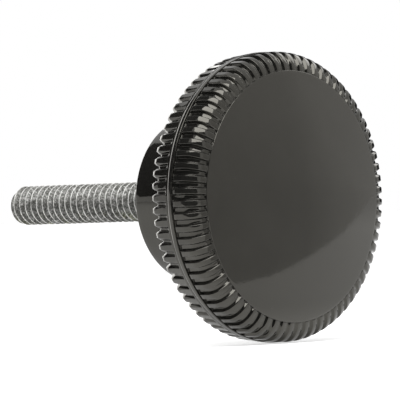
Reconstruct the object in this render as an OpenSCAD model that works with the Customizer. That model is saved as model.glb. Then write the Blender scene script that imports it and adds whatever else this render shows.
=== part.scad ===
// Fluted-rim clamping knob, moulded in hard black plastic round a threaded steel stud.
// The knob's axis lies along Y: the crowned face looks toward -Y and the stud points toward +Y.
// The origin is the centre of the boss end, where the knob seats on what it clamps.
// Each piece is drawn standing on that seat, with heights measured from it, and is then laid along Y.
// Sizes are in millimetres and angles in degrees.

/* [Head] */
// Diameter over the parting band, the widest part of the head
head_d = 44.45; // [42:0.05:50]
// Height of the face's edge above the seat
face_h = 21.2; // [20.4:0.1:26]
// Rise of the crowned face at its centre
crown_h = 1.6; // [0.4:0.1:3]
// Radius of the shoulder that the ribs follow from the rim to the face
shoulder_r = 3.15; // [2.4:0.05:3.6]
// Height of the rim's back above the seat
back_h = 12; // [10:0.1:13]
// Radius that rounds the back end of each rib
back_round = 1; // [0.7:0.05:1.3]
// Chamfer at the back end of each flute
flute_chamfer = 0.4; // [0.1:0.05:0.8]

/* [Ribs] */
// Number of ribs round each half of the rim
rib_count = 72; // [48:1:80]
// Radius of a rib's rounded top
rib_r = 0.6; // [0.5:0.02:0.66]
// Depth of the flutes between the ribs
flute_depth = 0.85; // [0.7:0.05:1]
// Turn of the front ribs about the axis
rib_turn = 1.4; // [0:0.1:5]
// Slope of the rear ribs, which narrows the rim toward its back
rear_draft = 6.5; // [3:0.5:8]

/* [Parting band] */
// Height of the middle of the plain band between the front and rear ribs
band_h = 16.12; // [15.6:0.02:16.6]
// Width of the band
band_w = 1.15; // [0.8:0.05:1.6]
// How far the band stands proud of the ribs
band_proud = 0.05; // [0.03:0.01:0.15]
// Width of the parting line round the band
line_w = 0.16; // [0.08:0.02:0.4]
// Depth of the parting line
line_depth = 0.08; // [0.04:0.01:0.2]

/* [Boss] */
// Diameter of the boss
boss_d = 25; // [20:0.1:30]
// Radius that rounds the edge of the boss end
boss_round = 0.4; // [0.2:0.05:1]
// Radius of the fillet where the boss meets the rim's back
boss_fillet = 1.5; // [0.5:0.1:3]

/* [Stud] */
// Major diameter of the stud's thread
stud_d = 6.35; // [6:0.05:8]
// Length of the stud beyond the seat
stud_l = 38.1; // [12:0.1:76]
// Length of the chamfer at the stud's tip
tip_chamfer = 1; // [0.4:0.1:1.5]
// Distance from one crest of the thread to the next
thread_pitch = 1.27; // [1:0.01:1.6]
// Depth of the thread
thread_depth = 0.75; // [0.5:0.01:0.8]
// Width of the thread's flat root
root_w = 0.24; // [0.1:0.02:0.35]
// Length of the thread's run-out, which narrows to the neck just inside the boss
thread_runout = 0.5; // [0.3:0.05:1.5]
// Diameter of the plain neck inside the head
neck_d = 5.5; // [4:0.1:5.9]
// Depth of the anchor's underside below the seat
anchor_depth = 8; // [4:0.1:12]
// Width of the hexagonal anchor across its flats
anchor_af = 11.1; // [8:0.1:16]
// Thickness of the anchor
anchor_t = 4.4; // [2:0.1:7]

/* [Hidden] */
$fn = 144;

// How far shapes that are joined run into each other
lap = 0.2;
// Step from the top of the ribs up to the edge of the face
face_lip = 0.05;
// How far the face's edge reaches out over the ribs' inner ends
face_lap = 0.075;
// Facets of a rib's round top and of the wide sphere that crowns the face, in a drawn view
rib_fn = 24;
crown_fn = 720;
// Place of the first groove's middle beyond the seat, in pitches
first_groove = 0.55;
// Share of back_round that lies behind the centre of the rounding, and how far the arc clears the crests
round_share = 0.95;
round_clear = 0.04;

head_r = head_d / 2;
boss_r = boss_d / 2;
stud_r = stud_d / 2;
neck_r = neck_d / 2;
rib_pitch = 360 / rib_count;

crest_r = head_r - band_proud;
floor_r = crest_r - flute_depth;
shoulder_at = crest_r - shoulder_r;
shoulder_h = face_h - face_lip - shoulder_r;
face_r = shoulder_at + face_lap;
crown_r = (face_r * face_r + crown_h * crown_h) / (2 * crown_h);

band_front = band_h + band_w / 2;
band_back = band_h - band_w / 2;
rear_h = band_back - back_h;
rear_floor_r = floor_r - rear_h * tan(rear_draft);
round_h = back_h + round_share * back_round;
round_at = crest_r - (band_back - round_h) * tan(rear_draft) + round_clear - back_round;

// ---- Head: one moulding, with its boss, web, ribs, band and face ----

// Half section of the boss, with its rounded end and the fillet at its root
module boss_profile() {
    square([boss_r - boss_round, back_h + lap]);
    translate([0, boss_round]) square([boss_r, back_h]);
    translate([boss_r - boss_round, boss_round]) intersection() {
        circle(r = boss_round);
        translate([0, -boss_round]) square(boss_round);
    }
    difference() {
        translate([0, back_h - boss_fillet]) square([boss_r + boss_fillet, boss_fillet + lap]);
        translate([boss_r + boss_fillet, back_h - boss_fillet]) circle(r = boss_fillet);
    }
}

// Half section of the head at the bottom of its flutes
module flute_floor_profile() {
    polygon([
        [0, back_h],
        [rear_floor_r - flute_chamfer, back_h],
        [rear_floor_r + flute_chamfer * tan(rear_draft), back_h + flute_chamfer],
        [floor_r, band_back],
        [floor_r, shoulder_h],
        [0, shoulder_h]
    ]);
    translate([0, back_h]) square([shoulder_at, shoulder_h + shoulder_r - flute_depth - back_h]);
    translate([shoulder_at, shoulder_h]) intersection() {
        circle(r = shoulder_r - flute_depth);
        square(shoulder_r);
    }
}

// Half section of the parting band, with the line that the two halves of the mould leave
module band_profile() {
    difference() {
        translate([0, band_back]) square([head_r, band_w]);
        polygon([
            [head_r - line_depth, band_h],
            [head_r + line_depth, band_h - line_w],
            [head_r + line_depth, band_h + line_w]
        ]);
    }
}

// Half section of the crowned face, down into the body of the head
module face_profile() {
    translate([0, shoulder_h]) square([face_r, face_h - shoulder_h]);
    intersection() {
        translate([0, shoulder_h]) square([face_r, face_h + crown_h]);
        translate([0, face_h + crown_h - crown_r]) circle(r = crown_r, $fn = crown_fn);
    }
}

// A front rib: up the rim from the band, then over the shoulder to the face
module front_rib() {
    translate([crest_r - rib_r, 0, band_front - lap])
        cylinder(r = rib_r, h = shoulder_h - band_front + lap, $fn = rib_fn);
    translate([shoulder_at, 0, shoulder_h]) rotate([90, 0, 0]) rotate_extrude(angle = 90)
        translate([shoulder_r - rib_r, 0]) circle(r = rib_r, $fn = rib_fn);
}

// A rear rib: a sloping rod from the band out past the rim's back
module rear_rib() {
    translate([crest_r - rib_r / cos(rear_draft), 0, band_back]) rotate([0, 180 + rear_draft, 0])
        translate([0, 0, -lap]) cylinder(r = rib_r, h = rear_h + 2 * rib_r, $fn = rib_fn);
}

// Half section of what is turned away from the rear ribs: all behind the back, and a rounded edge
module rear_end_profile() {
    translate([round_at - back_round, back_h - 2 * rib_r]) square([3 * back_round, 2 * rib_r]);
    difference() {
        translate([round_at, back_h - lap]) square([2 * back_round, round_h - back_h + lap]);
        translate([round_at, round_h]) circle(r = back_round);
    }
}

module rear_ribs() {
    difference() {
        for (i = [0 : rib_count - 1]) rotate([0, 0, rib_turn + (i + 0.5) * rib_pitch]) rear_rib();
        rotate_extrude() rear_end_profile();
    }
}

module knob_head() {
    color("#242422")
    rotate([90, 0, 0])
    difference() {
        union() {
            rotate_extrude() {
                boss_profile();
                flute_floor_profile();
            }
            rotate_extrude() band_profile();
            for (i = [0 : rib_count - 1]) rotate([0, 0, rib_turn + i * rib_pitch]) front_rib();
            rear_ribs();
            rotate_extrude() face_profile();
        }
        stud_blank();
    }
}

// ---- Stud: one rolled steel piece, held in the moulding by its hexagonal anchor ----

// The stud in the same standing position as the head, which is moulded round it
module stud_blank() {
    translate([0, 0, -stud_l]) cylinder(r1 = stud_r - tip_chamfer, r2 = stud_r, h = tip_chamfer);
    translate([0, 0, tip_chamfer - stud_l]) cylinder(r = stud_r, h = stud_l - tip_chamfer);
    cylinder(r1 = stud_r, r2 = neck_r, h = thread_runout);
    cylinder(r = neck_r, h = anchor_depth + lap);
    translate([0, 0, anchor_depth]) cylinder(d = anchor_af / cos(30), h = anchor_t, $fn = 6);
}

// The thread's grooves as rings, at the pitch, depth and 60 degree flanks of the true thread
module thread_grooves() {
    root_r = stud_r - thread_depth;
    flare = (thread_depth + lap) * tan(30);
    for (i = [0 : round(stud_l / thread_pitch) - 1])
        translate([0, 0, -(i + first_groove) * thread_pitch]) rotate_extrude() polygon([
            [root_r, -root_w / 2],
            [stud_r + lap, -root_w / 2 - flare],
            [stud_r + lap, root_w / 2 + flare],
            [root_r, root_w / 2]
        ]);
}

module threaded_stud() {
    color("#b4b4b0")
    rotate([90, 0, 0]) difference() {
        stud_blank();
        thread_grooves();
    }
}

knob_head();
threaded_stud();
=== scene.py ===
import math

import bmesh
import bpy
from mathutils import Matrix, Vector
from mathutils import noise as smooth_noise


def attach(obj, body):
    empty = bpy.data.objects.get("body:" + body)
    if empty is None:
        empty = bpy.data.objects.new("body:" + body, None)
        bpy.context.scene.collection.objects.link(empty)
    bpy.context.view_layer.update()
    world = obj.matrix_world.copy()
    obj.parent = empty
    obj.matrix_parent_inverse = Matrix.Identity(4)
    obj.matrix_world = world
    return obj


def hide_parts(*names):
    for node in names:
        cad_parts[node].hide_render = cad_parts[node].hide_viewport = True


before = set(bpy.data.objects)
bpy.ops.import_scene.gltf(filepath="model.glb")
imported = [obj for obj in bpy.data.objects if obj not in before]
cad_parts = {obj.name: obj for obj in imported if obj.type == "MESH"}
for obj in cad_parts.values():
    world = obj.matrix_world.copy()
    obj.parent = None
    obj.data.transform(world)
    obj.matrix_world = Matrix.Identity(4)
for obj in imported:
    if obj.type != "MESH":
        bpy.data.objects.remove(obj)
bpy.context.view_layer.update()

# ---- Threaded stud ----
# A 1/4 inch stud with a coarse right-hand thread, rolled from steel wire and zinc plated. It is laid in
# the mould before the head is pressed, so its neck and hexagonal anchor are buried in the plastic.
# Rolling leaves narrow, slightly uneven crests and round roots, and tumbling dulls it and dents the crests.

# Sizes are in millimetres, and this is one millimetre in metres
MM = 0.001
PITCH = 1.27
CREST_RADIUS = 3.12
ROOT_RADIUS = 2.4
# Half the thread's section, from mid-crest to mid-root: (share of a pitch, share of the thread's depth)
HALF_THREAD = [(0.0, 0.0), (0.035, 0.006), (0.062, 0.04), (0.09, 0.105), (0.37, 0.9),
               (0.405, 0.965), (0.45, 0.993), (0.5, 1.0)]
THREAD_SIDES = 96
SPARE_TURNS = 2
# Where things lie along the stud, from the seat toward its tip
STUD_TIP = 38.1
TIP_START = 36.5
ANCHOR_UNDERSIDE = -8.0
ANCHOR_TOP = -12.4
# The tip's rounding, and the rings of the shallow hollow that rolling leaves in it: (radius, how far sunk)
TIP_RADIUS = 1.7
TIP_CURVE = 1.6
TIP_HOLLOW = [(1.6, 0.02), (1.3, 0.07), (0.8, 0.14), (0.3, 0.17)]
# The thread's run-out just inside the boss, the plain neck and the hexagon's width across its flats
RUNOUT = 0.5
NECK_RADIUS = 2.75
ANCHOR_FLAT = 11.1
# The dents' depth, the circle on which their noise is read, and its two scales in waves per millimetre
DENT_DEPTH = 0.1
DENT_CIRCLE = 3.1
BROAD_DENTS = 1.8
SMALL_DENTS = 4.3
SMALL_DENT_SHARE = 0.7
# Points nearer than this are taken as one
TOUCHING = 0.002

GRIMY_ZINC = (0.06, 0.06, 0.055)
DULL_ZINC = (0.13, 0.13, 0.122)
GREY_ZINC = (0.30, 0.30, 0.29)
BRIGHT_ZINC = (0.60, 0.60, 0.58)
WORN_CREST = (0.56, 0.56, 0.545)
CHROMATE = (0.92, 0.95, 0.62)
# The chromate's yellow gathers on the underside, between these heights
CHROMATE_FULL = -2.2
CHROMATE_NONE = -1.2


def eased(share):
    """A share of the way from 0 to 1 that starts and ends gently."""
    share = min(1.0, max(0.0, share))
    return share * share * (3.0 - 2.0 * share)


def placed(angle, radius, y):
    """A point of a mesh, in metres, from its angle round the axis, its radius and its y."""
    return radius * math.cos(angle) * MM, y * MM, radius * math.sin(angle) * MM


def hexagon_radius(angle, across_flats):
    """How far a hexagon reaches at an angle from one of its corners."""
    past_flat = (angle % (math.pi / 3)) - math.pi / 6
    return across_flats / 2 / math.cos(past_flat)


def thread_radius(depth, y, angle):
    """The thread's radius at a depth share, with its dents, its rounded tip and its run-out in the boss."""
    spot = Vector((math.cos(angle) * DENT_CIRCLE, y, math.sin(angle) * DENT_CIRCLE))
    dent = max(0.0, smooth_noise.noise(spot * BROAD_DENTS))
    dent += SMALL_DENT_SHARE * max(0.0, smooth_noise.noise(spot * SMALL_DENTS))
    radius = CREST_RADIUS - depth * (CREST_RADIUS - ROOT_RADIUS) - (1.0 - depth) * dent * DENT_DEPTH
    tip = min(1.0, max(0.0, (y - TIP_START) / (STUD_TIP - TIP_START)))
    radius = min(radius, CREST_RADIUS - (CREST_RADIUS - TIP_RADIUS) * tip ** TIP_CURVE)
    return radius + (NECK_RADIUS - radius) * eased(-y / RUNOUT)


def open_rim(shape, y):
    """The open edges that lie in one plane across the axis."""
    return [edge for edge in shape.edges
            if edge.is_boundary and all(abs(point.co.y - y * MM) < TOUCHING * MM / 2 for point in edge.verts)]


def drawn_out(shape, edges, place):
    """Draws an open rim on to a new ring of points, whose radius and y are found from their angle."""
    made = bmesh.ops.extrude_edge_only(shape, edges=edges)["geom"]
    for point in made:
        if isinstance(point, bmesh.types.BMVert):
            angle = math.atan2(point.co.z, point.co.x)
            point.co = placed(angle, *place(angle))
    return [edge for edge in made if isinstance(edge, bmesh.types.BMEdge)]


def stud_mesh():
    """The thread's helix, in rows of points that climb a pitch each turn, cut off and closed at its ends."""
    section = HALF_THREAD[:-1] + [(1.0 - share, depth) for share, depth in reversed(HALF_THREAD[1:])]
    per_turn = len(section)
    turns = math.ceil((STUD_TIP + RUNOUT) / PITCH) + 2 * SPARE_TURNS
    shape = bmesh.new()
    rows = []
    for turn in range(turns):
        for share, depth in section:
            row = []
            for side in range(THREAD_SIDES):
                angle = 2 * math.pi * side / THREAD_SIDES
                y = (turn - SPARE_TURNS + share - side / THREAD_SIDES) * PITCH
                row.append(shape.verts.new(placed(angle, thread_radius(depth, y, angle), y)))
            rows.append(row)
    for low in range(len(rows) - 1):
        for side in range(THREAD_SIDES):
            if side < THREAD_SIDES - 1:
                far_low = rows[low][side + 1]
                far_high = rows[low + 1][side + 1]
            elif low >= per_turn:
                far_low = rows[low - per_turn][0]
                far_high = rows[low + 1 - per_turn][0]
            else:
                continue
            shape.faces.new((rows[low][side], far_low, far_high, rows[low + 1][side]))
    for y, outward in ((STUD_TIP, 1), (-RUNOUT, -1)):
        everything = shape.verts[:] + shape.edges[:] + shape.faces[:]
        bmesh.ops.bisect_plane(shape, geom=everything, dist=1e-8, plane_co=(0, y * MM, 0),
                               plane_no=(0, outward, 0), clear_outer=True)
    bmesh.ops.remove_doubles(shape, verts=shape.verts[:], dist=TOUCHING * MM)
    tip = open_rim(shape, STUD_TIP)
    for radius, sunk in TIP_HOLLOW:
        tip = drawn_out(shape, tip, lambda angle: (radius, STUD_TIP - sunk))
    bmesh.ops.edgeloop_fill(shape, edges=tip)
    neck = open_rim(shape, -RUNOUT)
    neck = drawn_out(shape, neck, lambda angle: (NECK_RADIUS, ANCHOR_UNDERSIDE))
    neck = drawn_out(shape, neck, lambda angle: (hexagon_radius(angle, ANCHOR_FLAT), ANCHOR_UNDERSIDE))
    neck = drawn_out(shape, neck, lambda angle: (hexagon_radius(angle, ANCHOR_FLAT), ANCHOR_TOP))
    bmesh.ops.edgeloop_fill(shape, edges=neck)
    bmesh.ops.recalc_face_normals(shape, faces=shape.faces[:])
    mesh = bpy.data.meshes.new("threaded_stud_rolled")
    shape.to_mesh(mesh)
    shape.free()
    return mesh


def finished_piece(name, mesh, sharp_angle):
    """Puts a mesh in the scene, smooth apart from its real corners, with its broad faces kept true."""
    for face in mesh.polygons:
        face.use_smooth = True
    mesh.set_sharp_from_angle(angle=math.radians(sharp_angle))
    piece = bpy.data.objects.new(name, mesh)
    bpy.context.scene.collection.objects.link(piece)
    weighted = piece.modifiers.new("true_faces", "WEIGHTED_NORMAL")
    weighted.keep_sharp = True
    return piece


def new_material(name):
    """A material with its node tree, its Principled shader and its object coordinates."""
    material = bpy.data.materials.new(name)
    material.use_nodes = True
    tree = material.node_tree
    shader = tree.nodes["Principled BSDF"]
    place = tree.nodes.new("ShaderNodeTexCoord").outputs["Object"]
    return material, tree, shader, place


def noise(tree, place, scale, detail=3.0, roughness=0.5):
    """Noise whose scale is in waves per metre."""
    node = tree.nodes.new("ShaderNodeTexNoise")
    node.inputs["Scale"].default_value = scale
    node.inputs["Detail"].default_value = detail
    node.inputs["Roughness"].default_value = roughness
    tree.links.new(place, node.inputs["Vector"])
    return node.outputs["Fac"]


def ramp(tree, factor, *stops):
    """A colour ramp with stops given as (place, colour)."""
    node = tree.nodes.new("ShaderNodeValToRGB")
    line = node.color_ramp
    while len(line.elements) < len(stops):
        line.elements.new(0.5)
    for element, (where, colour) in zip(line.elements, stops):
        element.position = where
        element.color = (*colour, 1.0)
    tree.links.new(factor, node.inputs["Fac"])
    return node.outputs["Color"]


def spread(tree, value, low, high, to_low, to_high):
    """Maps a value from one range to another, held at its ends."""
    node = tree.nodes.new("ShaderNodeMapRange")
    node.inputs["From Min"].default_value = low
    node.inputs["From Max"].default_value = high
    node.inputs["To Min"].default_value = to_low
    node.inputs["To Max"].default_value = to_high
    tree.links.new(value, node.inputs["Value"])
    return node.outputs["Result"]


def sums(tree, kind, first, second):
    """One step of arithmetic between two values, either of which may be a plain number."""
    node = tree.nodes.new("ShaderNodeMath")
    node.operation = kind
    for socket, value in zip(node.inputs, (first, second)):
        if isinstance(value, (int, float)):
            socket.default_value = value
        else:
            tree.links.new(value, socket)
    return node.outputs["Value"]


def plus(tree, first, second):
    """Two values added."""
    return sums(tree, "ADD", first, second)


def times(tree, first, second):
    """Two values multiplied."""
    return sums(tree, "MULTIPLY", first, second)


def blended(tree, kind, factor, first, second):
    """Two colours mixed, either of which may be a plain colour."""
    node = tree.nodes.new("ShaderNodeMix")
    node.data_type = "RGBA"
    node.blend_type = kind
    tree.links.new(factor, node.inputs["Factor"])
    for name, colour in (("A", first), ("B", second)):
        socket = [one for one in node.inputs if one.name == name and one.type == "RGBA"][0]
        if isinstance(colour, tuple):
            socket.default_value = (*colour, 1.0)
        else:
            tree.links.new(colour, socket)
    return [one for one in node.outputs if one.type == "RGBA"][0]


def bumped(tree, height, depth, under=None):
    """A bump whose height of 1 is a depth, laid over another bump if one is given."""
    node = tree.nodes.new("ShaderNodeBump")
    node.inputs["Strength"].default_value = 1.0
    node.inputs["Distance"].default_value = depth * MM
    tree.links.new(height, node.inputs["Height"])
    if under is not None:
        tree.links.new(under, node.inputs["Normal"])
    return node.outputs["Normal"]


def coordinate(tree, place, axis):
    """One coordinate of a point, as a value in metres."""
    parts = tree.nodes.new("ShaderNodeSeparateXYZ")
    tree.links.new(place, parts.inputs["Vector"])
    return parts.outputs[axis]


def distance(tree, first, second):
    """How far away a point is, from two of its coordinates."""
    return sums(tree, "SQRT", plus(tree, times(tree, first, first), times(tree, second, second)), 0.0)


def zinc_plate():
    """Zinc that is dull and mottled between the crests and rubbed paler on them."""
    material, tree, shader, place = new_material("zinc_plated_steel")
    upward = coordinate(tree, place, "Z")
    from_axis = distance(tree, coordinate(tree, place, "X"), upward)
    height = spread(tree, from_axis, ROOT_RADIUS * MM, CREST_RADIUS * MM, 0.0, 1.0)
    grime = noise(tree, place, scale=2100, detail=4.0, roughness=0.7)
    flecks = noise(tree, place, scale=3600, detail=2.0, roughness=0.7)
    tone = plus(tree, times(tree, grime, 0.75), times(tree, flecks, 0.45))
    dull = ramp(tree, tone, (0.42, GRIMY_ZINC), (0.58, DULL_ZINC), (0.70, GREY_ZINC), (0.80, BRIGHT_ZINC))
    underside = spread(tree, upward, CHROMATE_FULL * MM, CHROMATE_NONE * MM, 1.0, 0.0)
    patches = spread(tree, noise(tree, place, scale=300, detail=2.0), 0.45, 0.62, 0.0, 0.5)
    dull = blended(tree, "MULTIPLY", times(tree, patches, underside), dull, CHROMATE)
    worn = spread(tree, height, 0.86, 0.97, 0.0, 1.0)
    tree.links.new(blended(tree, "MIX", worn, dull, WORN_CREST), shader.inputs["Base Color"])
    shader.inputs["Metallic"].default_value = 1.0
    tree.links.new(spread(tree, flecks, 0.35, 0.7, 0.62, 0.40), shader.inputs["Roughness"])
    coarse = bumped(tree, grime, 0.1)
    tree.links.new(bumped(tree, flecks, 0.03, coarse), shader.inputs["Normal"])
    return material


stud = finished_piece("threaded_stud_rolled", stud_mesh(), sharp_angle=40)
stud.data.materials.append(zinc_plate())
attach(stud, "root")
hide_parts("threaded_stud")

# ---- Knob head ----
# One compression moulding in hard black thermoset: crowned face, ribbed shoulder and rim, parting band,
# drafted rear ribs, flat back and boss. It is pressed round the stud in a two-part mould that closes at
# the band, and it comes out glossy, with nothing added after.

RIBS = 72
FIRST_FRONT_RIB = math.radians(1.4)
# Half widths of a front flute at the rim and at the face, and of a rear flute
FLUTE = 0.43
FACE_FLUTE = 0.37
REAR_FLUTE = 0.31
# Two halves of a section across the rim: a rib from its flat top to the wall, and a flute from the wall to
# its flat floor. A point is (share of the half width of that rib or flute, share of the depth).
STEEP = ([(0.66, 0.0), (0.72, 0.008), (0.77, 0.03), (0.81, 0.075), (0.85, 0.15)],
         [(0.84, 0.83), (0.79, 0.91), (0.74, 0.96), (0.68, 0.99), (0.60, 1.0)])
SOFT = ([(0.66, 0.0), (0.71, 0.012), (0.765, 0.06), (0.83, 0.15), (0.915, 0.32)],
        [(0.88, 0.68), (0.77, 0.82), (0.69, 0.92), (0.62, 0.98), (0.55, 1.0)])
REAR = ([(0.66, 0.0), (0.73, 0.015), (0.79, 0.06), (0.85, 0.14), (0.92, 0.29)],
        [(0.86, 0.66), (0.73, 0.81), (0.62, 0.91), (0.52, 0.975), (0.40, 1.0)])
REAR_END = ([(0.42, 0.0), (0.52, 0.03), (0.62, 0.10), (0.74, 0.22), (0.87, 0.36)],
            [(0.88, 0.62), (0.74, 0.76), (0.62, 0.87), (0.50, 0.95), (0.36, 1.0)])
# How many points one rib has in a row, and one flute
RIB_POINTS = 1 + 2 * len(STEEP[0])

# The crowned face: its edge, how far it rises in the middle, its rings of points and the lip round it.
# Points are (radius, height above the seat).
FACE_EDGE = 21.27
FACE_RADIUS = 19.17
CROWN = 1.53
CROWN_SPHERE = (FACE_RADIUS ** 2 + CROWN ** 2) / (2 * CROWN)
FACE_RINGS = (3.0, 6.0, 9.0, 12.0, 14.5, 16.5, 18.0)
MARGIN_RINGS = (18.75, 19.12)
FACE_LIP = [(19.165, 21.265), (19.195, 21.24)]
# Where the flutes start under the lip, as pairs of a point on the ribs' tops and one on the flutes' floors
FLUTE_STARTS = [((19.205, 21.215), (19.205, 21.20)), ((19.215, 21.213), (19.207, 20.94)),
                ((19.235, 21.222), (19.222, 20.908)), ((19.26, 21.226), (19.26, 20.90))]

# The shoulder: a quarter of an ellipse over the ribs' tops, and one inside it over the flutes' floors, which
# rise nearer to the tops toward the face. Both are drawn from just short of the face down to the rim.
CREST = 22.175
FLUTE_DEPTH = 0.6
FLOOR = CREST - FLUTE_DEPTH
FACE_END_DEPTH = 0.327
SHOULDER_AT = 19.15
SHOULDER_HEIGHT = 18.55
SHOULDER_WIDTH = CREST - SHOULDER_AT
SHOULDER_RISE = 2.68
SHOULDER_TURN = 86
SHOULDER_STEPS = 12
# The flutes are steep up to the first of these turns up the shoulder, and soft from the second
STEEP_TURN = 15
SOFT_TURN = 65

# The ribs' feet, which round off into a narrow channel beside the band, as pairs of points
RIB_FEET = [((CREST, 17.50), (FLOOR + 0.03, 17.50)), ((CREST, 17.09), (FLOOR + 0.10, 17.07)),
            ((22.165, 17.045), (FLOOR + 0.105, 17.03)), ((22.13, 17.015), (FLOOR + 0.11, 16.99)),
            ((22.0, 16.99), (FLOOR + 0.115, 16.93)), ((21.89, 16.95), (FLOOR + 0.12, 16.87)),
            ((21.85, 16.88), (FLOOR + 0.125, 16.81)), ((21.85, 16.79), (FLOOR + 0.13, 16.76)),
            ((21.87, 16.735), (FLOOR + 0.15, 16.73)), ((22.14, 16.715), (22.10, 16.712))]

# The band: its front land, the step where the mould parts, its rear land, and the height of its back
FRONT_LAND = 22.218
PARTING = 22.122
REAR_LAND = 22.15
BAND = [(22.185, 16.69), (22.208, 16.655), (22.217, 16.60), (FRONT_LAND, 16.52), (FRONT_LAND, 16.20),
        (22.208, 16.14), (22.162, 16.03), (PARTING, 15.93), (PARTING, 15.905), (22.145, 15.87),
        (REAR_LAND, 15.84), (REAR_LAND, 15.62)]
BAND_BACK = 15.545

# The rear ribs, which slope in toward the back, and their flutes, which end short of it in a scallop
REAR_DEPTH = 0.45
REAR_FLOOR = CREST - REAR_DEPTH
DRAFT = math.tan(math.radians(6.5))
REAR_STARTS = [((REAR_LAND, 15.57), (22.13, 15.57)), ((REAR_LAND, 15.55), (22.06, 15.55)),
               ((22.148, 15.52), (REAR_FLOOR + 0.06, 15.53))]
# Heights of a rear rib's rows, as (on its top, on the flute's floor, how far toward the rear end's section)
REAR_HEIGHTS = [(15.42, 15.47, 0.0), (14.6, 14.7, 0.0), (13.9, 14.0, 0.4)]
ROUND_CENTRE = (20.493, 13.15)
ROUND_RADIUS = 1.4
# Turns round a rib's rounded end, each with the point of the flute's end that goes with it
ROUND_END = [(6.5, (21.50, 13.50)), (16, (21.475, 13.34)), (25, (21.43, 13.22)), (33, (21.36, 13.12)),
             (41, (21.26, 13.03)), (49, (21.08, 12.90)), (57, (20.86, 12.70))]
# The height of the rim's back, and the last points on it
BACK = 12.0
REAR_ENDS = [((21.0, BACK), (20.4, 12.25)), ((20.3, BACK), (20.15, BACK))]
WEB_EDGE = 19.9

# The flat web behind the rim, the boss, and the hole that the stud fills
COARSE = 144
WEB_RINGS = (16.5, 14.3)
BOSS = 12.6
BOSS_FILLET = 1.5
FILLET_STEPS = 6
BOSS_RINGS = (6.0, 0.9)
BOSS_EDGE = 0.15
EDGE_STEPS = 4
END_RINGS = (11.6, 8.0, 5.0)
HOLE_GAP = 0.01

DEEP_BLACK = (0.0085, 0.0083, 0.0075)
PALE_BLACK = (0.0130, 0.0127, 0.0115)
DUST = (0.06, 0.06, 0.055)
GLOSS_TINT = (1.0, 0.965, 0.86)


def crown_height(radius):
    """How far the crowned face stands above the seat at a radius."""
    return FACE_EDGE + CROWN - CROWN_SPHERE + math.sqrt(CROWN_SPHERE ** 2 - radius ** 2)


def between(first, second, share):
    """A section that lies a share of the way from one to another."""
    return tuple([(a + share * (c - a), b + share * (d - b)) for (a, b), (c, d) in zip(one, other)]
                 for one, other in zip(first, second))


def front_row(top, floor, softness=0.0):
    """A row round the front of the rim: (rib top, flute floor, flute half width, section, is it rear)."""
    return top, floor, FLUTE + softness * (FACE_FLUTE - FLUTE), between(STEEP, SOFT, softness), False


def rear_row(top, floor, softness=0.0):
    """A row round the rear of the rim, where the ribs stand half a pitch further on."""
    return top, floor, REAR_FLUTE, between(REAR, REAR_END, softness), True


def shoulder_row(turn):
    """A row across the shoulder, at a turn from the rim up toward the face."""
    across = math.cos(math.radians(turn))
    rise = math.sin(math.radians(turn))
    top = (SHOULDER_AT + SHOULDER_WIDTH * across, SHOULDER_HEIGHT + SHOULDER_RISE * rise)
    floor = (SHOULDER_AT + (SHOULDER_WIDTH - FLUTE_DEPTH) * across,
             SHOULDER_HEIGHT + (SHOULDER_RISE - FACE_END_DEPTH) * rise)
    return front_row(top, floor, eased((turn - STEEP_TURN) / (SOFT_TURN - STEEP_TURN)))


def rim_rows():
    """The rim's rows from the face to the back. A row's two points are the same where nothing is fluted."""
    margin = [(radius, crown_height(radius)) for radius in MARGIN_RINGS]
    rows = [front_row(spot, spot) for spot in margin + FACE_LIP]
    rows += [front_row(top, floor, 1.0) for top, floor in FLUTE_STARTS]
    rows += [shoulder_row(SHOULDER_TURN * (1 - step / SHOULDER_STEPS)) for step in range(SHOULDER_STEPS + 1)]
    rows += [front_row(top, floor) for top, floor in RIB_FEET]
    rows += [front_row(spot, spot) for spot in BAND]
    rows += [rear_row(top, floor) for top, floor in REAR_STARTS]
    for top_height, floor_height, softness in REAR_HEIGHTS:
        top = (REAR_LAND - (BAND_BACK - top_height) * DRAFT, top_height)
        floor = (REAR_FLOOR - (BAND_BACK - floor_height) * DRAFT, floor_height)
        rows.append(rear_row(top, floor, softness))
    for turn, floor in ROUND_END:
        turn = math.radians(turn)
        top = (ROUND_CENTRE[0] + ROUND_RADIUS * math.cos(turn),
               ROUND_CENTRE[1] - ROUND_RADIUS * math.sin(turn))
        rows.append(rear_row(top, floor, 1.0))
    rows += [rear_row(top, floor, 1.0) for top, floor in REAR_ENDS]
    rows.append(front_row((WEB_EDGE, BACK), (WEB_EDGE, BACK)))
    return rows


def boss_rings():
    """The rings from the back of the rim over the boss to the bottom of the stud's hole."""
    rings = [(radius, BACK) for radius in WEB_RINGS]
    for step in range(FILLET_STEPS + 1):
        turn = math.radians(90 * step / FILLET_STEPS)
        rings.append((BOSS + BOSS_FILLET - BOSS_FILLET * math.sin(turn),
                      BACK - BOSS_FILLET + BOSS_FILLET * math.cos(turn)))
    rings += [(BOSS, height) for height in BOSS_RINGS]
    for step in range(EDGE_STEPS + 1):
        turn = math.radians(90 * step / EDGE_STEPS)
        rings.append((BOSS - BOSS_EDGE + BOSS_EDGE * math.cos(turn), BOSS_EDGE - BOSS_EDGE * math.sin(turn)))
    rings += [(radius, 0.0) for radius in END_RINGS]
    rings += [(CREST_RADIUS + HOLE_GAP, 0.0), (NECK_RADIUS + HOLE_GAP, RUNOUT),
              (NECK_RADIUS + HOLE_GAP, -ANCHOR_UNDERSIDE)]
    return rings


def rib_and_flute(section, rear):
    """One rib and one flute, as steps of (share of the half width, depth share, is it in the flute)."""
    rib_half, flute_half = section
    rib = [(-1.0, 0.5, False)] + [(-share, depth, False) for share, depth in reversed(rib_half)]
    rib += [(share, depth, False) for share, depth in rib_half]
    flute = [(-1.0, 0.5, True)] + [(-share, depth, True) for share, depth in flute_half]
    flute += [(share, depth, True) for share, depth in reversed(flute_half)]
    return flute + rib if rear else rib + flute


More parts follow.
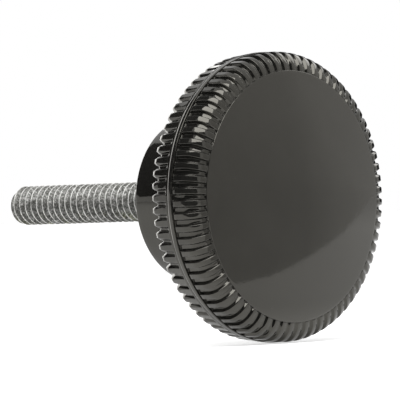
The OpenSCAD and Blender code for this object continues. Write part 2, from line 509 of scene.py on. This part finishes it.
def head_mesh():
    """The rim's rows, closed by rings of fewer points over the face and over the back."""
    half_pitch = math.pi / RIBS
    points = []
    faces = []

    def point(angle, radius, height):
        """Adds a point and gives its number."""
        points.append(placed(angle, radius, -height))
        return len(points) - 1

    def ring(radius_at, height):
        """A ring of points whose radius is found from their angle."""
        angles = [FIRST_FRONT_RIB + 2 * math.pi * side / COARSE for side in range(COARSE)]
        return [point(angle, radius_at(angle), height) for angle in angles]

    def round_ring(radius, height):
        """A ring of points on one circle."""
        return ring(lambda angle: radius, height)

    def rim_row(top, floor, flute_half_width, section, rear):
        """All the points of one row round the ribs and flutes."""
        flute = flute_half_width / ((top[0] + floor[0]) / 2)
        rib = half_pitch - flute
        made = []
        for number in range(RIBS):
            middle = FIRST_FRONT_RIB + 2 * half_pitch * number
            for order, (share, depth, in_flute) in enumerate(rib_and_flute(section, rear)):
                half_turn = half_pitch if order >= RIB_POINTS else 0.0
                made.append(point(middle + half_turn + share * (flute if in_flute else rib),
                                  top[0] + depth * (floor[0] - top[0]), top[1] + depth * (floor[1] - top[1])))
        return made

    def skin(first, second):
        """Joins two rings that have as many points as each other."""
        for side in range(len(first)):
            after = (side + 1) % len(first)
            faces.append((first[side], first[after], second[after], second[side]))

    def fan(few, many):
        """Joins a ring of few points to one of many, which lies outside it, with triangles."""
        share = len(many) // len(few)
        for side in range(len(few)):
            middle = side * share + share // 2
            for step in range(middle - share, middle):
                faces.append((few[side], many[step % len(many)], many[(step + 1) % len(many)]))
            faces.append((few[side], many[middle % len(many)], few[(side + 1) % len(few)]))

    def cap(middle, around):
        """Closes a ring with triangles that meet in its middle."""
        for side in range(len(around)):
            faces.append((middle, around[side], around[(side + 1) % len(around)]))

    rim = [rim_row(*row) for row in rim_rows()]
    face = [round_ring(radius, crown_height(radius)) for radius in FACE_RINGS]
    back = [round_ring(radius, height) for radius, height in boss_rings()]
    back += [ring(lambda angle: hexagon_radius(angle, ANCHOR_FLAT), -height)
             for height in (ANCHOR_UNDERSIDE, ANCHOR_TOP)]
    for rings in (rim, face, back):
        for first, second in zip(rings, rings[1:]):
            skin(first, second)
    cap(point(0.0, 0.0, FACE_EDGE + CROWN), face[0])
    fan(face[-1], rim[0])
    fan(back[0], rim[-1])
    cap(point(0.0, 0.0, -ANCHOR_TOP), back[-1])

    mesh = bpy.data.meshes.new("knob_head_moulded")
    mesh.from_pydata(points, [], faces)
    shape = bmesh.new()
    shape.from_mesh(mesh)
    bmesh.ops.recalc_face_normals(shape, faces=shape.faces[:])
    shape.to_mesh(mesh)
    shape.free()
    return mesh


def black_thermoset():
    """Glossy black plastic, faintly cloudy, with a little dust and the soft waves of a moulded skin."""
    material, tree, shader, place = new_material("glossy_black_thermoset")
    clouds = noise(tree, place, scale=120, roughness=0.6)
    grain = noise(tree, place, scale=2600, detail=2.0)
    colour = ramp(tree, clouds, (0.3, DEEP_BLACK), (0.7, PALE_BLACK))
    specks = tree.nodes.new("ShaderNodeTexVoronoi")
    specks.inputs["Scale"].default_value = 420
    tree.links.new(place, specks.inputs["Vector"])
    dust = spread(tree, specks.outputs["Distance"], 0.03, 0.07, 1.0, 0.0)
    colour = blended(tree, "MIX", times(tree, dust, 0.25), colour, DUST)
    tree.links.new(colour, shader.inputs["Base Color"])
    shader.inputs["IOR"].default_value = 1.58
    shader.inputs["Specular Tint"].default_value = (*GLOSS_TINT, 1.0)
    polish = plus(tree, times(tree, clouds, 0.08), times(tree, grain, 0.04))
    tree.links.new(spread(tree, polish, 0.03, 0.09, 0.04, 0.08), shader.inputs["Roughness"])
    peel = bumped(tree, noise(tree, place, scale=700, detail=2.0), 0.004)
    tree.links.new(bumped(tree, grain, 0.0015, peel), shader.inputs["Normal"])
    return material


head = finished_piece("knob_head_moulded", head_mesh(), sharp_angle=50)
head.data.materials.append(black_thermoset())
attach(head, "root")
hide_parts("knob_head")

# ---- Table ----
# A wide white laminate table top just under the rim, where it keeps the knob's soft shadow.
# Its glow makes it white to the eye, and in the gloss of the plastic it is brighter to the right.

TABLE_LEVEL = -22.35
TABLE_REACH = 4000.0
DULL_WHITE = (0.83, 0.83, 0.83)
CLEAR_WHITE = (0.85, 0.85, 0.85)
TABLE_GLOW = 0.62
# What the gloss sees of the table, as two pairs of (distance to the right of the axis, glow)
GLOSS_MIDDLE = (0.0, 0.12)
GLOSS_RIGHT = (300.0, 0.55)
# A strip of painted light on the left, which glows only in the gloss and fades between two distances from the
# axis
LEFT_GLOSS_GLOW = 0.16
LEFT_FULL = -60.0
LEFT_END = -20.0
# More painted light under the knob, glowing only in the gloss where the knob's shadow falls on the table,
# which fades away from it, in front of it and behind its rim
UNDER_KNOB_GLOW = 0.40
UNDER_FADE = (35.0, 65.0)
UNDER_FRONT = (-42.0, -28.0)
UNDER_BACK = (0.0, 12.0)


def staged_panel(name, points, faces, material):
    """A panel of the studio, which isn't part of the knob."""
    mesh = bpy.data.meshes.new(name)
    mesh.from_pydata(points, [], faces)
    mesh.materials.append(material)
    panel = bpy.data.objects.new(name, mesh)
    bpy.context.scene.collection.objects.link(panel)
    return panel


def on_table(line, height=TABLE_LEVEL):
    """A line of (x, y) points as points of a mesh, in metres, on the table or at another height."""
    return [(x * MM, y * MM, height * MM) for x, y in line]


def faded(tree, value, ends, first, last):
    """A level that goes from first to last while a distance goes from one of its ends to the other."""
    return spread(tree, value, ends[0] * MM, ends[1] * MM, first, last)


def white_laminate():
    """White laminate with a glow, which the eye and the gloss of the plastic see at different levels."""
    material, tree, shader, place = new_material("white_laminate")
    tone = noise(tree, place, scale=90, detail=4.0, roughness=0.6)
    tree.links.new(ramp(tree, tone, (0.3, DULL_WHITE), (0.7, CLEAR_WHITE)), shader.inputs["Base Color"])
    shader.inputs["Roughness"].default_value = 0.6
    shader.inputs["Specular IOR Level"].default_value = 0.2
    across = coordinate(tree, place, "X")
    along = coordinate(tree, place, "Y")
    # Painted light: in the gloss the table glows brighter to the right, on the left and under the knob
    room_glow = faded(tree, across, (GLOSS_MIDDLE[0], GLOSS_RIGHT[0]), GLOSS_MIDDLE[1], GLOSS_RIGHT[1])
    left_glow = faded(tree, across, (LEFT_FULL, LEFT_END), LEFT_GLOSS_GLOW, 0.0)
    near_knob_glow = faded(tree, distance(tree, across, along), UNDER_FADE, UNDER_KNOB_GLOW, 0.0)
    under = times(tree, near_knob_glow, times(tree, faded(tree, along, UNDER_FRONT, 0.0, 1.0),
                                    faded(tree, along, UNDER_BACK, 1.0, 0.0)))
    glow_in_gloss = plus(tree, room_glow, plus(tree, left_glow, under))
    path = tree.nodes.new("ShaderNodeLightPath")
    glow = plus(tree, times(tree, path.outputs["Is Camera Ray"], TABLE_GLOW),
                times(tree, path.outputs["Is Glossy Ray"], glow_in_gloss))
    shader.inputs["Emission Color"].default_value = (1.0, 1.0, 1.0, 1.0)
    tree.links.new(glow, shader.inputs["Emission Strength"])
    return material


table_corners = [(-TABLE_REACH, -TABLE_REACH), (TABLE_REACH, -TABLE_REACH),
                 (TABLE_REACH, TABLE_REACH), (-TABLE_REACH, TABLE_REACH)]
staged_panel("table_top", on_table(table_corners), [(0, 1, 2, 3)], white_laminate())

# ---- Studio ----
# White surroundings, one large soft lamp high in front of the knob and to its left, a pale card on its
# right, bright cards behind it, and black cards that keep the gloss of the black plastic deep.

CARD_WHITE = (1.0, 0.99, 0.97, 1.0)


def toward(azimuth, elevation, reach):
    """A point at a reach from the knob, with the azimuth from the face's side toward +X, in degrees."""
    turn = math.radians(azimuth)
    rise = math.radians(elevation)
    return (reach * math.sin(turn) * math.cos(rise) * MM, -reach * math.cos(turn) * math.cos(rise) * MM,
            reach * math.sin(rise) * MM)


def glowing(name, strength=1.0):
    """A card's plain glow, in the colour of the light that the surroundings give back."""
    material = bpy.data.materials.new(name)
    material.use_nodes = True
    tree = material.node_tree
    tree.nodes.clear()
    glow = tree.nodes.new("ShaderNodeEmission")
    glow.inputs["Color"].default_value = CARD_WHITE
    glow.inputs["Strength"].default_value = strength
    output = tree.nodes.new("ShaderNodeOutputMaterial")
    tree.links.new(glow.outputs["Emission"], output.inputs["Surface"])
    return material


def card(name, bottoms, tops, material):
    """A card that is only there for the gloss, as a strip between two rows of points."""
    count = len(bottoms)
    faces = [(side, side + 1, count + side + 1, count + side) for side in range(count - 1)]
    made = staged_panel(name, bottoms + tops, faces, material)
    made.visible_camera = False
    made.visible_diffuse = False
    made.visible_shadow = False
    made.visible_transmission = False


def card_around(name, away, edges, material):
    """A card that stands round the knob, with its edges given as (azimuth, bottom, top) in degrees."""
    bottoms = []
    tops = []
    for azimuth, bottom, top in edges:
        bottoms.append(toward(azimuth, bottom, away / math.cos(math.radians(bottom))))
        tops.append(toward(azimuth, top, away / math.cos(math.radians(top))))
    card(name, bottoms, tops, material)


black = glowing("black_card", 0.0)
card_around("front_black_card", 420,
            [(-165, 6, 32), (-150, 6, 32), (-140, 6.5, 32), (-120, 2, 32), (-100, -2, 34), (-80, -3, 36),
             (-60, -3, 36), (-40, -3, 34), (-16, -3, 32)], black)
card_around("back_black_card", 700, [(azimuth, 30, 72) for azimuth in (-180, -160, -140, -118)], black)
card_around("right_black_card", 900,
            [(78, -2, 22), (100, -2, 22), (120, -2, 22), (140, -2, 20), (165, -2, 18)], black)
# A low black card stands on the table. It comes straight from far behind the knob on its left, bends
# forward round an arc and ends straight in front of it.
near_behind = (-900, 520)
near_front = (-75, -300)
near_centre = (-209, -146)
near_radius = 148
near_turns = (55, 40, 25, 10, -5)
near_top = 8.0
near_foot = [near_behind]
for degrees in near_turns:
    turn = math.radians(degrees)
    near_foot.append((near_centre[0] + near_radius * math.cos(turn),
                      near_centre[1] + near_radius * math.sin(turn)))
near_foot.append(near_front)
card("near_black_card", on_table(near_foot), on_table(near_foot, near_top), black)

bright = glowing("bright_card", 3.0)
card_around("back_bright_card", 350, [(azimuth, -3, 28) for azimuth in (140, 160, 180, 197)], bright)
# A bright strip of painted light, seen only in the gloss, lies on the table behind the knob and widens away
# from it
strip_right = [(10, 45), (20, 130), (60, 360)]
strip_left = [(-24, 45), (-60, 130), (-110, 360)]
strip_height = TABLE_LEVEL + 0.05
card("back_bright_floor", on_table(strip_right, strip_height), on_table(strip_left, strip_height), bright)
card_around("right_bright_card", 600, [(azimuth, 26, 46) for azimuth in (62, 80, 100, 112)], bright)

# The pale card stands on a foot line with one bend, from in front of the knob to far on its right, and is
# taller further away. Its far end rises off the table in a curve. It is brighter further round and higher up.
pale_foot = [(-17, -54), (40, -73), (780, -417)]
# The two ends of that curve as (azimuth, rise) in degrees, the power that bends it and how far away it is
pale_end_low = (64.0, -0.6)
pale_end_high = (69.5, 6.0)
pale_end_bend = 1.6
pale_end_steps = 4
pale_end_reach = 1100
pale_height_share = 0.9
pale_least_height = 20.0
pale = glowing("pale_card")
pale_tree = pale.node_tree
pale_place = pale_tree.nodes.new("ShaderNodeTexCoord").outputs["Object"]
pale_turn = sums(pale_tree, "ARCTAN2", coordinate(pale_tree, pale_place, "X"),
                 times(pale_tree, coordinate(pale_tree, pale_place, "Y"), -1.0))
pale_round = spread(pale_tree, pale_turn, 0.72, 1.15, 0.67, 0.97)
pale_high = faded(pale_tree, coordinate(pale_tree, pale_place, "Z"), (0.0, 50.0), 0.0, 0.28)
pale_glow = sums(pale_tree, "MINIMUM", plus(pale_tree, pale_round, pale_high), 0.98)
pale_tree.links.new(pale_glow, pale_tree.nodes["Emission"].inputs["Strength"])
pale_bottoms = on_table(pale_foot)
for step in range(pale_end_steps + 1):
    share = step / pale_end_steps
    azimuth = pale_end_low[0] + share * (pale_end_high[0] - pale_end_low[0])
    rise = pale_end_low[1] + share ** pale_end_bend * (pale_end_high[1] - pale_end_low[1])
    pale_bottoms.append(toward(azimuth, rise, pale_end_reach))
pale_tops = [(x, y, (TABLE_LEVEL + pale_least_height) * MM + pale_height_share * math.hypot(x, y))
             for x, y, z in pale_bottoms]
card("pale_card", pale_bottoms, pale_tops, pale)

lamp_data = bpy.data.lights.new("soft_box", "AREA")
lamp_data.shape = "RECTANGLE"
lamp_data.size = 620 * MM
lamp_data.size_y = 420 * MM
lamp_data.energy = 4.2
lamp = bpy.data.objects.new("soft_box", lamp_data)
bpy.context.scene.collection.objects.link(lamp)
lamp.location = toward(-50, 57, 560)
lamp.rotation_euler = lamp.location.to_track_quat("Z", "Y").to_euler()
lamp.visible_camera = False

WORLD_LIGHT = 0.45
WORLD_WHITE = 1.0
world = bpy.data.worlds.new("white_studio")
bpy.context.scene.world = world
world.use_nodes = True
sky = world.node_tree
sky.nodes.clear()
path = sky.nodes.new("ShaderNodeLightPath")
seen = sums(sky, "MAXIMUM", path.outputs["Is Camera Ray"], path.outputs["Is Glossy Ray"])
seen = sums(sky, "MAXIMUM", seen, path.outputs["Is Transmission Ray"])
shine = sky.nodes.new("ShaderNodeBackground")
shine.inputs["Color"].default_value = (1.0, 1.0, 1.0, 1.0)
sky.links.new(spread(sky, seen, 0.0, 1.0, WORLD_LIGHT, WORLD_WHITE), shine.inputs["Strength"])
sky.links.new(shine.outputs["Background"], sky.nodes.new("ShaderNodeOutputWorld").inputs["Surface"])

# ---- Camera ----
# A long lens level with the knob's axis, a little rolled, that looks past the face's left edge at the stud.
# It aims at a point on the axis inside the head, and the last two sizes shift that point off the centre.

VIEW_AZIMUTH = math.radians(-46.613)
VIEW_ROLL = math.radians(-2.002)
VIEW_DISTANCE = 800 * MM
LENS = 467.74
AIM = (0.0, -8 * MM, 0.0)
AIM_RIGHT = 4.569 * MM
AIM_UP = 0.212 * MM

backward = Vector((math.sin(VIEW_AZIMUTH), -math.cos(VIEW_AZIMUTH), 0.0))
level = Vector((math.cos(VIEW_AZIMUTH), math.sin(VIEW_AZIMUTH), 0.0))
upright = Vector((0.0, 0.0, 1.0))
rightward = level * math.cos(VIEW_ROLL) + upright * math.sin(VIEW_ROLL)
upward = upright * math.cos(VIEW_ROLL) - level * math.sin(VIEW_ROLL)
camera_data = bpy.data.cameras.new("camera")
camera_data.lens = LENS
camera_data.sensor_width = 36.0
camera_data.clip_start = 10 * MM
camera = bpy.data.objects.new("camera", camera_data)
bpy.context.scene.collection.objects.link(camera)
spot = Vector(AIM) + backward * VIEW_DISTANCE - rightward * AIM_RIGHT - upward * AIM_UP
camera.matrix_world = Matrix.Translation(spot) @ Matrix((rightward, upward, backward)).transposed().to_4x4()
bpy.context.scene.camera = camera

bpy.context.scene.view_settings.view_transform = "Standard"
